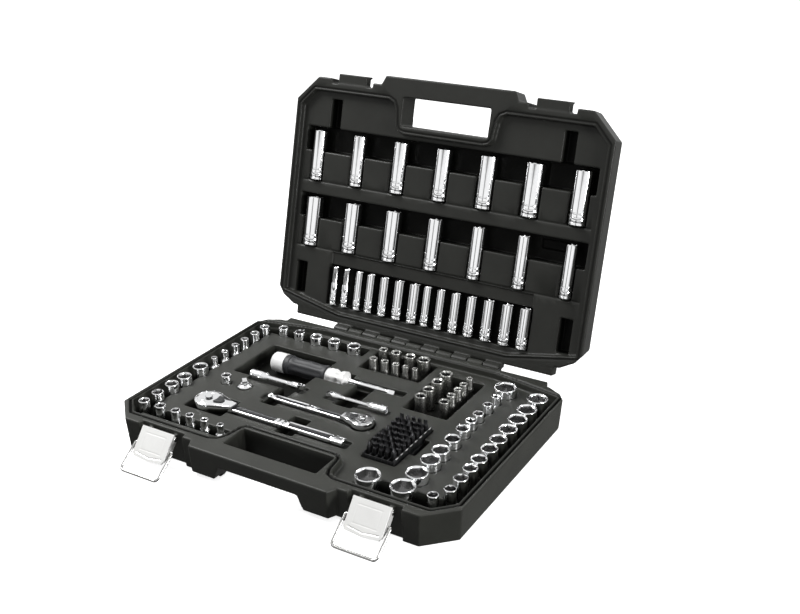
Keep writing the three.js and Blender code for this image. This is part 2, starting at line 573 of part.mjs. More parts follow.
function latchPin() {
  const half = LATCH.leverHalf + 1.3;
  const heads = [-half, half - 1].map((x) => cylinder("x", 2.7, x, x + 1, [0, 0], 10));
  return join(cylinder("x", LATCH.pinRadius, -half + 0.5, half - 0.5, [0, 0], 10), ...heads);
}

function latch(side, x) {
  const radians = THREE.MathUtils.degToRad;
  const pivot = new THREE.Group();
  pivot.position.set(x, LATCH.pivotY, LATCH.pivotZ);
  const lever = new THREE.Group();
  lever.rotation.x = -radians(LATCH.tiltDegrees);
  const bail = new THREE.Group();
  bail.position.set(0, LATCH.bailY, LATCH.bailZ);
  bail.rotation.x = -radians(LATCH.bailDegrees);
  bail.add(mesh("latch_bail_" + side, latchBail(), FINISH.wire));
  lever.add(mesh("latch_lever_" + side, latchLever(), FINISH.latchSteel), bail);
  pivot.add(mesh("latch_pin_" + side, latchPin(), FINISH.latchSteel), lever);
  return pivot;
}

// ---------------------------------------------------------------- assembly

const hingePin = cylinder("x", HINGE.pinRadius, -HINGE.knuckles * HINGE.pitch / 2,
  HINGE.knuckles * HINGE.pitch / 2, [HINGE.y, HINGE.z], 12);

const closedCase = new THREE.Group();
closedCase.position.set(0, -CASE.middleY, CASE.baseHeight);
closedCase.add(
  mesh("case_base", baseShell(), FINISH.caseMoulding),
  mesh("hinge_pin", hingePin, FINISH.wire),
  latch("left", -LATCH.x),
  latch("right", LATCH.x),
  placedRatchet("large_ratchet", LARGE_RATCHET, 0),
  placedRatchet("small_ratchet", SMALL_RATCHET, Math.PI),
  ...spinner(),
  extension("long_extension", 76, 4, 6, 9.5 * 0.72, -59, 162, -1),
  extension("short_extension", 80, 3.2, 5, 6.3, -29, 164, 1),
  adapter(),
  bitHolder(),
  ...Array.from({ length: BITS.columns }, (_, column) => bitRow(column)),
  ...STANDING_ROWS.map((row) => mesh(row.name, socketRow(row), FINISH[row.finish])),
);

const lid = new THREE.Group();
lid.position.set(0, -HINGE.y, -HINGE.z);
lid.add(mesh("case_lid", lidShell(), FINISH.caseMoulding), ...lowerRows());
for (const { name, mouthY, radii } of DEEP_ROWS) {
  radii.forEach((radius, i) => {
    const body = deepSocket(radius, DEEP.length, mouthY, (i - 3) * DEEP.pitch);
    lid.add(mesh(name + "_" + (i + 1), body, FINISH.chrome));
  });
}
const lidSwing = new THREE.Group();
lidSwing.position.set(0, HINGE.y, HINGE.z);
lidSwing.rotation.x = -THREE.MathUtils.degToRad(HINGE.openDegrees);
lidSwing.add(lid);
closedCase.add(lidSwing);

const socketSet = new THREE.Group();
socketSet.add(closedCase);

export default socketSet;
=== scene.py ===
import math

import bpy
import numpy as np
from mathutils import Matrix, Vector


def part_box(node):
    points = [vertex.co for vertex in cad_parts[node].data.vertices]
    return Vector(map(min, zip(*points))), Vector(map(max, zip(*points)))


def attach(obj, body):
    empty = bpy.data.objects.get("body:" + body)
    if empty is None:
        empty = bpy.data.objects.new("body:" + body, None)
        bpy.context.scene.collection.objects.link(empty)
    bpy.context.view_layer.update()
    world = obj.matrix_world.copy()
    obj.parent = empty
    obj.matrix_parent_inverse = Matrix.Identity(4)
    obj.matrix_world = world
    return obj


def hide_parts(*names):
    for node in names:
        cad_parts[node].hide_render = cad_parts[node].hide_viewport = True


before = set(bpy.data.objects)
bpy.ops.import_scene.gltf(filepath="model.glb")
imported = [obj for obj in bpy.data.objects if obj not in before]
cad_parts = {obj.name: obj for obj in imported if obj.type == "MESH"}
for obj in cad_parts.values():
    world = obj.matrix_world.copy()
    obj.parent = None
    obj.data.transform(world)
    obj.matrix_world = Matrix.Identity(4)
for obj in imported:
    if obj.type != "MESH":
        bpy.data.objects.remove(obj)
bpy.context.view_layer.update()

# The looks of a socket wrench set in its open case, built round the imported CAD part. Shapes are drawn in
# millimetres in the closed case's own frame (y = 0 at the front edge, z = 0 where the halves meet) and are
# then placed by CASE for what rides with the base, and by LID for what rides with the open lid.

MM = Matrix.Scale(0.001, 4)
CASE_MIDDLE_Y = 149.0
BASE_HEIGHT = 38.0
LID_HEIGHT = 32.0
HINGE_Y = 315.5
HINGE_Z = -4.2
OPEN_DEGREES = 104.0
CASE = MM @ Matrix.Translation((0, -CASE_MIDDLE_Y, BASE_HEIGHT))
LID = (MM @ Matrix.Translation((0, HINGE_Y - CASE_MIDDLE_Y, HINGE_Z + BASE_HEIGHT))
       @ Matrix.Rotation(-math.radians(OPEN_DEGREES), 4, "X") @ Matrix.Translation((0, -HINGE_Y, -HINGE_Z)))
ALONG_X = Matrix.Rotation(math.radians(90), 4, "Y")
ALONG_MINUS_X = Matrix.Rotation(math.radians(-90), 4, "Y")
ALONG_Y = Matrix.Rotation(math.radians(-90), 4, "X")

SIDES = 48

# The camera as solved from the photo: degrees of azimuth, elevation and roll, its place in the case's frame,
# and the lens on a 36 mm sensor.
CAMERA_DEGREES = (30.438, 23.952, -0.296)
CAMERA_PLACE = (603.57, -745.85, 594.35)
CAMERA_LENS = 49.04
CAMERA_SENSOR = 36
FLOOR_HALF = 6.0
FLOOR_GLOW = 0.8
FLAG_COUNT = 5


# ---------------------------------------------------------------- camera, floor and light

def add_camera():
    azimuth, elevation, roll = (math.radians(a) for a in CAMERA_DEGREES)
    back = Vector((math.sin(azimuth) * math.cos(elevation), -math.cos(azimuth) * math.cos(elevation),
                   math.sin(elevation)))
    right = Vector((math.cos(azimuth), math.sin(azimuth), 0))
    up = back.cross(right)
    rolled_right = right * math.cos(roll) + up * math.sin(roll)
    rolled_up = up * math.cos(roll) - right * math.sin(roll)
    place = CASE @ Vector(CAMERA_PLACE)
    camera = bpy.data.objects.new("camera", bpy.data.cameras.new("camera"))
    camera.data.lens = CAMERA_LENS
    camera.data.sensor_width = CAMERA_SENSOR
    camera.data.clip_end = 50
    axes = Matrix((rolled_right, rolled_up, back)).transposed().to_4x4()
    camera.matrix_world = Matrix.Translation(place) @ axes
    bpy.context.scene.collection.objects.link(camera)
    bpy.context.scene.camera = camera


def add_area_light(name, place, target, size, watts):
    light = bpy.data.lights.new(name, "AREA")
    light.energy = watts
    light.size = size
    lamp = bpy.data.objects.new(name, light)
    place, target = Vector(place), Vector(target)
    aim = (target - place).to_track_quat("-Z", "Y").to_matrix().to_4x4()
    lamp.matrix_world = Matrix.Translation(place) @ aim
    bpy.context.scene.collection.objects.link(lamp)


def add_flags(nodes, links, direction):
    """Black flags hung round the table: polished metal shows them as dark stripes."""
    azimuth = nodes.new("ShaderNodeMath")
    azimuth.operation = "ARCTAN2"
    links.new(direction.outputs["Y"], azimuth.inputs[0])
    links.new(direction.outputs["X"], azimuth.inputs[1])
    repeat = nodes.new("ShaderNodeMath")
    repeat.operation = "MULTIPLY"
    repeat.inputs[1].default_value = FLAG_COUNT
    links.new(azimuth.outputs[0], repeat.inputs[0])
    wave = nodes.new("ShaderNodeMath")
    wave.operation = "SINE"
    links.new(repeat.outputs[0], wave.inputs[0])
    tilted = nodes.new("ShaderNodeMath")
    tilted.operation = "ADD"
    links.new(wave.outputs[0], tilted.inputs[0])
    links.new(direction.outputs["Z"], tilted.inputs[1])
    edge = nodes.new("ShaderNodeMapRange")
    edge.inputs["From Min"].default_value = -0.92
    edge.inputs["From Max"].default_value = -0.62
    edge.inputs["To Min"].default_value = 0.1
    links.new(tilted.outputs[0], edge.inputs["Value"])
    return edge.outputs[0]


def add_studio():
    world = bpy.data.worlds.new("studio")
    bpy.context.scene.world = world
    world.use_nodes = True
    nodes, links = world.node_tree.nodes, world.node_tree.links
    background = nodes["Background"]
    coordinates = nodes.new("ShaderNodeTexCoord")
    split = nodes.new("ShaderNodeSeparateXYZ")
    links.new(coordinates.outputs["Generated"], split.inputs[0])
    height = nodes.new("ShaderNodeMapRange")
    height.inputs["From Min"].default_value = -1
    links.new(split.outputs["Z"], height.inputs["Value"])
    bands = nodes.new("ShaderNodeValToRGB")
    stops = [(0.0, 0.3), (0.49, 0.42), (0.5, 1.1), (0.58, 1.1), (0.6, 0.1), (0.635, 0.08), (0.665, 0.9),
             (0.9, 1.0)]
    ramp = bands.color_ramp
    while len(ramp.elements) < len(stops):
        ramp.elements.new(0.5)
    for element, (position, value) in zip(ramp.elements, stops):
        element.position = position
        element.color = (value, value, value, 1)
    links.new(height.outputs[0], bands.inputs[0])
    flags = add_flags(nodes, links, split)
    shaded = nodes.new("ShaderNodeMix")
    shaded.data_type = "RGBA"
    shaded.blend_type = "MULTIPLY"
    shaded.inputs["Factor"].default_value = 1.0
    links.new(bands.outputs[0], shaded.inputs["A"])
    links.new(flags, shaded.inputs["B"])
    backdrop = nodes.new("ShaderNodeMix")
    backdrop.data_type = "RGBA"
    backdrop.inputs["B"].default_value = (1, 1, 1, 1)
    path = nodes.new("ShaderNodeLightPath")
    links.new(path.outputs["Is Camera Ray"], backdrop.inputs["Factor"])
    links.new(shaded.outputs["Result"], backdrop.inputs["A"])
    links.new(backdrop.outputs["Result"], background.inputs["Color"])
    strength = nodes.new("ShaderNodeMapRange")
    strength.inputs["To Min"].default_value = 1.0
    strength.inputs["To Max"].default_value = 0.3
    links.new(path.outputs["Is Diffuse Ray"], strength.inputs["Value"])
    links.new(strength.outputs[0], background.inputs["Strength"])
    add_area_light("key", (-0.9, -0.15, 1.25), (-0.05, 0, 0), 0.6, 22)
    add_area_light("fill", (1.7, -0.2, 0.5), (0.1, 0, 0), 0.5, 24)
    add_area_light("back", (0.4, 1.2, 1.5), (0.1, 0, 0.1), 0.6, 8)
    bpy.context.scene.view_settings.view_transform = "Standard"
    corners = [(x * FLOOR_HALF, y * FLOOR_HALF, 0) for x, y in ((-1, -1), (1, -1), (1, 1), (-1, 1))]
    mesh = bpy.data.meshes.new("floor")
    mesh.from_pydata(corners, [], [(0, 1, 2, 3)])
    floor = bpy.data.objects.new("floor", mesh)
    paper = surface("floor_paper", (0.9, 0.9, 0.9), 0.9, grain_scale=300, bump=0.01, tint=0.005)
    shader = paper.node_tree.nodes["Principled BSDF"]
    shader.inputs["Emission Color"].default_value = (1, 1, 1, 1)
    shader.inputs["Emission Strength"].default_value = FLOOR_GLOW
    floor.data.materials.append(paper)
    floor.visible_diffuse = False
    floor.visible_glossy = False
    bpy.context.scene.collection.objects.link(floor)


# ---------------------------------------------------------------- materials

def surface(name, color, roughness, metallic=0.0, grain_scale=900.0, bump=0.1, roughness_swing=0.06, tint=0.08,
            stretch=(1, 1, 1), cloud_scale=35.0):
    """A procedural finish: fine grain in bump and roughness, and slow clouds in colour."""
    material = bpy.data.materials.new(name)
    material.use_nodes = True
    nodes, links = material.node_tree.nodes, material.node_tree.links
    shader = nodes["Principled BSDF"]
    shader.inputs["Metallic"].default_value = metallic
    coordinates = nodes.new("ShaderNodeTexCoord")
    mapping = nodes.new("ShaderNodeMapping")
    mapping.inputs["Scale"].default_value = stretch
    links.new(coordinates.outputs["Object"], mapping.inputs["Vector"])
    grain = nodes.new("ShaderNodeTexNoise")
    grain.inputs["Scale"].default_value = grain_scale
    grain.inputs["Detail"].default_value = 3
    links.new(mapping.outputs["Vector"], grain.inputs["Vector"])
    clouds = nodes.new("ShaderNodeTexNoise")
    clouds.inputs["Scale"].default_value = cloud_scale
    clouds.inputs["Detail"].default_value = 4
    links.new(coordinates.outputs["Object"], clouds.inputs["Vector"])
    shade = nodes.new("ShaderNodeValToRGB")
    shade.color_ramp.elements[0].position = 0.3
    shade.color_ramp.elements[1].position = 0.7
    shade.color_ramp.elements[0].color = (*[c * (1 - tint) for c in color], 1)
    shade.color_ramp.elements[1].color = (*[min(1, c * (1 + tint)) for c in color], 1)
    links.new(clouds.outputs["Fac"], shade.inputs["Fac"])
    links.new(shade.outputs["Color"], shader.inputs["Base Color"])
    swing = nodes.new("ShaderNodeMapRange")
    swing.inputs["From Min"].default_value = 0.3
    swing.inputs["From Max"].default_value = 0.7
    swing.inputs["To Min"].default_value = max(0.02, roughness - roughness_swing)
    swing.inputs["To Max"].default_value = roughness + roughness_swing
    links.new(grain.outputs["Fac"], swing.inputs["Value"])
    links.new(swing.outputs["Result"], shader.inputs["Roughness"])
    relief = nodes.new("ShaderNodeBump")
    relief.inputs["Strength"].default_value = bump
    relief.inputs["Distance"].default_value = 0.0002
    links.new(grain.outputs["Fac"], relief.inputs["Height"])
    links.new(relief.outputs["Normal"], shader.inputs["Normal"])
    return material


def paint_recess_shade(material, gloss=0.5):
    """Paints shade into the moulding: its colour, and its specular level scaled by gloss, are multiplied down
    by the mesh's own per-point shade values, so that deep wells and grooves stay black.
    """
    nodes, links = material.node_tree.nodes, material.node_tree.links
    shader = nodes["Principled BSDF"]
    recess_shade = nodes.new("ShaderNodeAttribute")
    recess_shade.attribute_name = "recess_shade"
    shade = nodes.new("ShaderNodeMapRange")
    shade.inputs["To Min"].default_value = 1.0
    shade.inputs["To Max"].default_value = 0.1
    links.new(recess_shade.outputs["Fac"], shade.inputs["Value"])
    for name in ("Base Color", "Specular IOR Level"):
        socket = shader.inputs[name]
        if not socket.is_linked:
            shade_specular = nodes.new("ShaderNodeMath")
            shade_specular.operation = "MULTIPLY"
            shade_specular.inputs[1].default_value = gloss
            links.new(shade.outputs[0], shade_specular.inputs[0])
            links.new(shade_specular.outputs[0], socket)
            continue
        mixed = nodes.new("ShaderNodeMix")
        mixed.data_type = "RGBA"
        mixed.blend_type = "MULTIPLY"
        mixed.inputs["Factor"].default_value = 1.0
        links.new(socket.links[0].from_socket, mixed.inputs["A"])
        links.new(shade.outputs[0], mixed.inputs["B"])
        links.new(mixed.outputs["Result"], socket)
    return material


FINISHES = {
    # Both mouldings have shade painted into their deep wells and rim grooves, the base also into its handle
    # hole.
    "moulding": paint_recess_shade(surface("case_moulding", (0.030, 0.031, 0.027), 0.42, grain_scale=1400,
                                        bump=0.3, tint=0.12), 0.25),
    # The lid is the same plastic as the base, made darker: painted shade for the open lid.
    "lid_moulding_shaded": paint_recess_shade(surface("lid_moulding_shaded", (0.022, 0.0225, 0.02), 0.4, grain_scale=1400,
                                            bump=0.3, tint=0.12), 0.24),
    "chrome": surface("polished_chrome", (0.82, 0.825, 0.83), 0.07, 1.0, grain_scale=260, bump=0.01,
                      roughness_swing=0.03, tint=0.03),
    # Darker chrome for the faces inside the socket bores: painted shade.
    "bore": surface("bore_chrome_shaded", (0.36, 0.36, 0.36), 0.2, 1.0, grain_scale=700, bump=0.05, tint=0.1),
    # Dark panels in the ratchet handles, also used as painted shade round the push buttons.
    "inlay_and_gap_shade": surface("dark_handle_panel_and_gap_shade", (0.035, 0.035, 0.037), 0.3, 0.6, grain_scale=900, bump=0.08,
                     tint=0.1),
    "satin": surface("satin_grey_steel", (0.35, 0.35, 0.335), 0.28, 1.0, grain_scale=1500, bump=0.12, tint=0.1),
    "latch": surface("zinc_plated_steel", (0.86, 0.86, 0.845), 0.36, 0.35, grain_scale=500, bump=0.06,
                     tint=0.04, stretch=(1, 14, 14)),
    "wire": surface("bright_wire", (0.45, 0.45, 0.44), 0.14, 1.0, grain_scale=700, bump=0.05, tint=0.04),
    "grip": surface("soft_black_grip", (0.018, 0.019, 0.021), 0.52, grain_scale=1600, bump=0.3, tint=0.15),
    "white": surface("white_plastic", (0.86, 0.86, 0.85), 0.38, grain_scale=900, bump=0.05, tint=0.02),
    "holder": surface("black_holder", (0.012, 0.0125, 0.013), 0.4, grain_scale=1200, bump=0.2, tint=0.15),
    "bit": surface("black_oxide", (0.03, 0.03, 0.032), 0.3, 0.85, grain_scale=1300, bump=0.15, tint=0.2),
    "switch": surface("dark_switch", (0.02, 0.021, 0.022), 0.5, grain_scale=1200, bump=0.15, tint=0.1),
}


# ---------------------------------------------------------------- meshes

def add_piece(name, parts, matrix, finish, body, replaced=(), sharp_degrees=38.0, bevel=0.0, inside=None):
    """One visible piece from (vertices, faces) parts in millimetres, placed by matrix.

    inside is (finish, test): faces whose middle, before placing, passes the test take that finish instead."""
    vertices, faces = [], []
    for part_vertices, part_faces in parts:
        start = len(vertices)
        vertices.extend(part_vertices)
        faces.extend([tuple(start + i for i in face) for face in part_faces])
    mesh = bpy.data.meshes.new(name)
    mesh.from_pydata([matrix @ Vector(v) for v in vertices], [], faces)
    piece = bpy.data.objects.new(name, mesh)
    bpy.context.scene.collection.objects.link(piece)
    if bevel:
        rounding = piece.modifiers.new("rounding", "BEVEL")
        rounding.width = bevel * 0.001
        rounding.segments = 2
        rounding.limit_method = "ANGLE"
        rounding.angle_limit = math.radians(40)
        mesh = applied(piece)
    finish_mesh(mesh, sharp_degrees)
    declare(piece, finish, body, replaced)
    if inside:
        mesh.materials.append(FINISHES[inside[0]])
        for polygon_face, corners in zip(mesh.polygons, faces):
            middle = sum((Vector(vertices[i]) for i in corners), Vector()) / len(corners)
            polygon_face.material_index = int(inside[1](middle))
    return piece


def finish_mesh(mesh, sharp_degrees):
    mesh.polygons.foreach_set("use_smooth", [True] * len(mesh.polygons))
    mesh.set_sharp_from_angle(angle=math.radians(sharp_degrees))
    mesh.update()


def applied(piece):
    """Replaces a piece's mesh with the result of its modifiers."""
    graph = bpy.context.evaluated_depsgraph_get()
    mesh = bpy.data.meshes.new_from_object(piece.evaluated_get(graph))
    piece.modifiers.clear()
    piece.data = mesh
    return mesh


def declare(piece, finish, body, replaced=()):
    piece.data.materials.clear()
    piece.data.materials.append(FINISHES[finish])
    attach(piece, body)
    if replaced:
        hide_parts(*replaced)
    return piece


def moved(part, matrix):
    vertices, faces = part
    return [tuple(matrix @ Vector(v)) for v in vertices], faces


def loft(rings):
    """Joins rings of points in order. A ring of one point closes an end."""
    vertices = [point for ring in rings for point in ring]
    faces = []
    start = 0
    for ring, following in zip(rings, rings[1:]):
        after = start + len(ring)
        count = max(len(ring), len(following))
        for i in range(count):
            j = (i + 1) % count
            a, b = start + i % len(ring), start + j % len(ring)
            c, d = after + j % len(following), after + i % len(following)
            corners = [a, b, c, d]
            faces.append(tuple(dict.fromkeys(corners)))
        start = after
    return vertices, faces


def circle(radius, z, sides=SIDES):
    if radius == 0:
        return [(0, 0, z)]
    step = 2 * math.pi / sides
    return [(radius * math.cos(i * step), radius * math.sin(i * step), z) for i in range(sides)]


def polygon(across_flats, corners, z, sides=SIDES, rounding=0.985):
    """A regular polygon's ring, its corners cut back a little, with the same number of points as a circle."""
    half_angle = math.pi / corners
    largest = across_flats / 2 / math.cos(half_angle) * rounding
    points = []
    for i in range(sides):
        angle = 2 * math.pi * i / sides
        off = (angle + half_angle) % (2 * half_angle) - half_angle
        radius = min(largest, across_flats / 2 / math.cos(half_angle - abs(off)))
        points.append((radius * math.cos(angle), radius * math.sin(angle), z))
    return points


def star_bore(radius, z, lobes=6, depth=0.1):
    points = []
    for i in range(SIDES):
        angle = 2 * math.pi * i / SIDES
        reach = radius * (1 - depth + depth * math.cos(lobes * angle))
        points.append((reach * math.cos(angle), reach * math.sin(angle), z))
    return points


def turned(profile, sides=SIDES):
    return loft([circle(radius, z, sides) for radius, z in profile])


def prism(outline, z0, z1):
    """An extruded outline of (x, y) points, with flat ends."""
    count = len(outline)
    low = [(x, y, z0) for x, y in outline]
    high = [(x, y, z1) for x, y in outline]
    sides = [(i, (i + 1) % count, count + (i + 1) % count, count + i) for i in range(count)]
    return low + high, sides + [tuple(reversed(range(count))), tuple(range(count, 2 * count))]


def block(x0, x1, y0, y1, z0, z1):
    return prism([(x0, y0), (x1, y0), (x1, y1), (x0, y1)], z0, z1)


def rounded(points, radius, steps=5):
    """The outline with each corner replaced by an arc-like curve that starts radius before it."""
    made = []
    count = len(points)
    for i, corner in enumerate(points):
        here = Vector(corner)
        before, after = Vector(points[i - 1]), Vector(points[(i + 1) % count])
        reach = min(radius, (before - here).length * 0.45, (after - here).length * 0.45)
        start = here + (before - here).normalized() * reach
        end = here + (after - here).normalized() * reach
        for k in range(steps + 1):
            t = k / steps
            made.append(tuple(start * (1 - t) ** 2 + here * (2 * t * (1 - t)) + end * t ** 2))
    return made


# ---------------------------------------------------------------- the case's two halves

TRAY_HALF = [(54, 57), (61.5, 55), (66, 49), (69, 27.5), (72.5, 20.5), (80, 17), (188, 17), (207, 37),
             (207, 280), (120, 297)]
TRAY_OUTLINE = TRAY_HALF + [(-x, y) for x, y in reversed(TRAY_HALF)]
VOXEL = 1.0
GROOVE_MIDDLE = 3.4
GROOVE_HALF = 2.5


def distance_outside(points, outline):
    """Each point's distance to the outline, negative inside it."""
    x, y = points[:, 0], points[:, 1]
    nearest = np.full(len(points), 1e9)
    inside = np.zeros(len(points), dtype=bool)
    for (ax, ay), (bx, by) in zip(outline, outline[1:] + outline[:1]):
        dx, dy = bx - ax, by - ay
        t = np.clip(((x - ax) * dx + (y - ay) * dy) / (dx * dx + dy * dy), 0, 1)
        nearest = np.minimum(nearest, np.hypot(x - ax - t * dx, y - ay - t * dy))
        if ay != by:
            inside ^= ((ay > y) != (by > y)) & (x < dx * (y - ay) / dy + ax)
    return np.where(inside, -nearest, nearest)


def step(values, start, end):
    t = np.clip((values - start) / (end - start), 0, 1)
    return t * t * (3 - 2 * t)


def band(values, middle, half_width):
    return 1 - step(np.abs(values - middle), 0.35 * half_width, half_width)


def moulded(node, matrix, relief):
    """The node's shape with soft moulded edges, and relief pressed into it.

    It is returned as a Blender mesh, placed by matrix."""
    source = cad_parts[node]
    mesh = source.data.copy()
    mesh.transform(matrix.inverted() @ source.matrix_world)
    soft = bpy.data.objects.new("soft", mesh)
    bpy.context.scene.collection.objects.link(soft)
    weld = soft.modifiers.new("weld", "WELD")
    weld.merge_threshold = 0.002
    remesh = soft.modifiers.new("remesh", "REMESH")
    remesh.mode = "VOXEL"
    remesh.voxel_size = VOXEL * 1
    smooth = soft.modifiers.new("smooth", "SMOOTH")
    smooth.factor = 0.5
    smooth.iterations = 4
    mesh = applied(soft)
    count = len(mesh.vertices)
    points = np.empty(count * 3)
    normals = np.empty(count * 3)
    mesh.vertices.foreach_get("co", points)
    mesh.vertices.foreach_get("normal", normals)
    points = relief(points.reshape(-1, 3), normals.reshape(-1, 3))
    mesh.vertices.foreach_set("co", points.ravel())
    mesh.update()
    thin = soft.modifiers.new("thin", "DECIMATE")
    thin.ratio = 0.3
    mesh = applied(soft)
    points = np.empty(len(mesh.vertices) * 3)
    mesh.vertices.foreach_get("co", points)
    # Per-point painted shade, read by the moulding materials.
    mesh.attributes.new("recess_shade", "FLOAT", "POINT").data.foreach_set("value", recess_shade_of(points.reshape(-1, 3)))
    mesh.transform(matrix)
    bpy.data.objects.remove(soft)
    return mesh


def recess_shade_of(points):
    """Painted shade for each point, from 0 to 1, for either half of the case: it grows with depth in a well,
    lies along the groove round the tray (half as dark in the lid), and darkens the base's handle hole.
    """
    depth = np.abs(points[:, 2])
    outside = distance_outside(points, TRAY_OUTLINE)
    wells = 0.84 * step(depth, 9.6, 20) * (outside < 1) * (depth < 29.6)
    groove = band(outside, GROOVE_MIDDLE, GROOVE_HALF) * (depth < 4) * np.where(points[:, 2] < 0, 1.0, 0.5)
    in_handle = (np.abs(points[:, 0]) < 60) & (points[:, 1] > 10) & (points[:, 1] < 49) & (points[:, 2] < 0)
    handle = 0.6 * in_handle * step(depth, 1.5, 8)
    return np.maximum(np.maximum(wells, groove), handle)


def panel(points, half_width, y0, y1, corner):
    """Distance inside a rounded rectangle, for pressed panels."""
    outside_x = np.abs(points[:, 0]) - half_width
    outside_y = np.abs(points[:, 1] - (y0 + y1) / 2) - (y1 - y0) / 2
    rounding = np.hypot(np.maximum(outside_x + corner, 0), np.maximum(outside_y + corner, 0)) - corner
    return -np.maximum(rounding, np.minimum(np.maximum(outside_x, outside_y), 0))


def base_relief(points, normals):
    on_rim = (np.abs(points[:, 2]) < 0.8) & (normals[:, 2] > 0.6)
    outside = distance_outside(points, TRAY_OUTLINE)
    points[:, 2] -= np.where(on_rim, 2.8 * band(outside, GROOVE_MIDDLE, GROOVE_HALF), 0)
    underneath = points[:, 2] < -BASE_HEIGHT + 1
    pressed = step(panel(points, 168, 66, 268, 16), 0, 3)
    ribs = band(np.mod(points[:, 0] + 24, 48), 24, 5)
    points[:, 2] += np.where(underneath, 1.6 * pressed * (1 - ribs), 0)
    return points


def lid_relief(points, normals):
    on_rim = (np.abs(points[:, 2] - 0.3) < 0.8) & (normals[:, 2] < -0.6)
    outside = distance_outside(points, TRAY_OUTLINE)
    points[:, 2] += np.where(on_rim, 1.0 * band(outside, GROOVE_MIDDLE, 0.7 * GROOVE_HALF), 0)
    on_panel = (np.abs(points[:, 2] - 8.5) < 0.8) & (np.abs(points[:, 0]) < 199)
    for line in (132.5, 218.5):
        points[:, 2] += np.where(on_panel, 0.9 * band(points[:, 1], line, 1.6), 0)
    on_back = points[:, 2] > LID_HEIGHT - 1
    pressed = step(panel(points, 172, 66, 268, 18), 0, 3)
    ribs = band(np.mod(points[:, 0] + 21.5, 43), 21.5, 4) * step(panel(points, 160, 78, 256, 8), 0, 3)
    points[:, 2] -= np.where(on_back, 1.8 * pressed * (1 - 0.8 * ribs), 0)
    return points


def add_case_halves():
    for node, matrix, relief, body, look in (("case_base", CASE, base_relief, "base", "moulding"),
                                             ("case_lid", LID, lid_relief, "lid", "lid_moulding_shaded")):
        mesh = moulded(node, matrix, relief)
        piece = bpy.data.objects.new(node + "_moulding", mesh)
        bpy.context.scene.collection.objects.link(piece)
        finish_mesh(mesh, 60)
        declare(piece, look, body, (node,))
    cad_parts["hinge_pin"].data.materials.clear()
    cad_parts["hinge_pin"].data.materials.append(FINISHES["wire"])


# ---------------------------------------------------------------- sockets

SOCKET_TOP = 1.5
SOCKET_FOOT = -24.5
NOSE_LENGTH = 10.0
SKIRT_RADIUS = 6.0

STANDING_ROWS = [
    ("socket_row_left", "y", -193, "chrome", [(39.5, 6.5), (62, 7), (86, 8), (108, 8.7), (137, 9.2), (163, 3.8),
                                              (183, 4.2), (204, 4.6), (223, 4.9), (244, 5.6), (265, 6.2)]),
    ("socket_row_front", "x", 39.5, "chrome", [(-169, 6.3), (-147, 5.4), (-126.5, 5), (-106, 4.6), (-84, 3.9)]),
    ("socket_row_back", "x", 275, "chrome", [(-170, 6.6), (-145, 7.3), (-119, 8), (-92, 8.3), (-63, 8.6)]),
    ("socket_row_inner", "y", 147, "chrome", [(35, 13.3), (63, 12), (91, 11), (113, 10), (139, 9), (163, 8),
                                              (182, 6.4), (200, 6.3), (223.5, 5.6), (244.5, 5), (269.5, 13)]),
    ("socket_row_outer", "y", 189.5, "chrome", [(54, 6.6), (76, 7.7), (97, 8.1), (117, 8.9), (140.5, 9.4),
                                                (162, 9.7), (186, 10.4), (210.5, 11), (235, 11.3),
                                                (263.5, 12)]),
    ("star_socket_row_back", "x", 285, "satin", [(-26, 6), (-8, 6.6), (12, 7.1), (31, 8)]),
    ("star_socket_row_front", "x", 258, "satin", [(-24, 5.2), (-8, 4.9), (7, 4.6), (21, 4), (34, 3.7)]),
    ("star_socket_row_left", "y", 72, "satin", [(204.5, 7), (223, 7.1), (244.5, 7.7), (265.5, 7.9)]),
    ("star_socket_row_right", "y", 101.5, "satin", [(205.5, 6.3), (222.5, 5.4), (238.5, 5), (252.5, 4.8),
                                                    (268.5, 4)]),
    ("socket_front_large", "y", 106.5, "chrome", [(35, 13.8)]),
    ("socket_front_corner", "y", 180, "chrome", [(36, 6)]),
    ("socket_by_adapter", "y", -151.5, "chrome", [(134, 6)]),
]


def socket_bore(radius, top, depth, star):
    """Rings from the mouth's outer edge down to the bore's floor."""
    flats = radius * 1.5
    ring = (lambda z, scale=1.0: star_bore(radius * 0.78 * scale, z)) if star else \
        (lambda z, scale=1.0: polygon(flats * scale, 6, z))
    return [circle(radius - 0.9, top), circle(radius * 0.865 + 0.1, top - 0.25), ring(top - 1.5),
            ring(top - depth), circle(radius * 0.45, top - depth - 0.6), circle(0, top - depth - 0.6)]


def standing_socket(radius, star):
    top, foot = SOCKET_TOP, SOCKET_FOOT
    outer = [circle(0, foot)]
    if radius < SKIRT_RADIUS - 0.3:
        skirt = top - NOSE_LENGTH
        body = SKIRT_RADIUS if not star else radius + 0.7
        outer += [circle(body - 0.8, foot), circle(body, foot + 0.8), circle(body, skirt - 2.6),
                  circle(body - 0.25, skirt - 2.1), circle(radius + 0.25, skirt - 0.3),
                  circle(radius, skirt + 0.3)]
    else:
        outer += [circle(radius - 0.8, foot), circle(radius, foot + 0.8)]
    outer += [circle(radius, top - 0.9), circle(radius - 0.2, top - 0.3), circle(radius - 0.55, top)]
    return loft(outer + socket_bore(radius, top, 10.5, star))


def add_standing_sockets():
    for name, along, fixed, finish, sockets in STANDING_ROWS:
        for number, (place, radius) in enumerate(sockets, 1):
            x, y = (fixed, place) if along == "y" else (place, fixed)
            turn = Matrix.Rotation(math.radians(17 * number), 4, "Z")
            part = standing_socket(radius, finish == "satin")
            # Faces inside the bore take the darker bore chrome: painted shade.
            shaded_bore_faces = ("bore", lambda c, reach=radius * 0.86: math.hypot(c.x, c.y) < reach
                       and -12 < c.z < SOCKET_TOP - 1.2)
            add_piece(f"{name}_{number}", [part], CASE @ Matrix.Translation((x, y, 0)) @ turn, finish, "base",
                      (name,), inside=shaded_bore_faces)


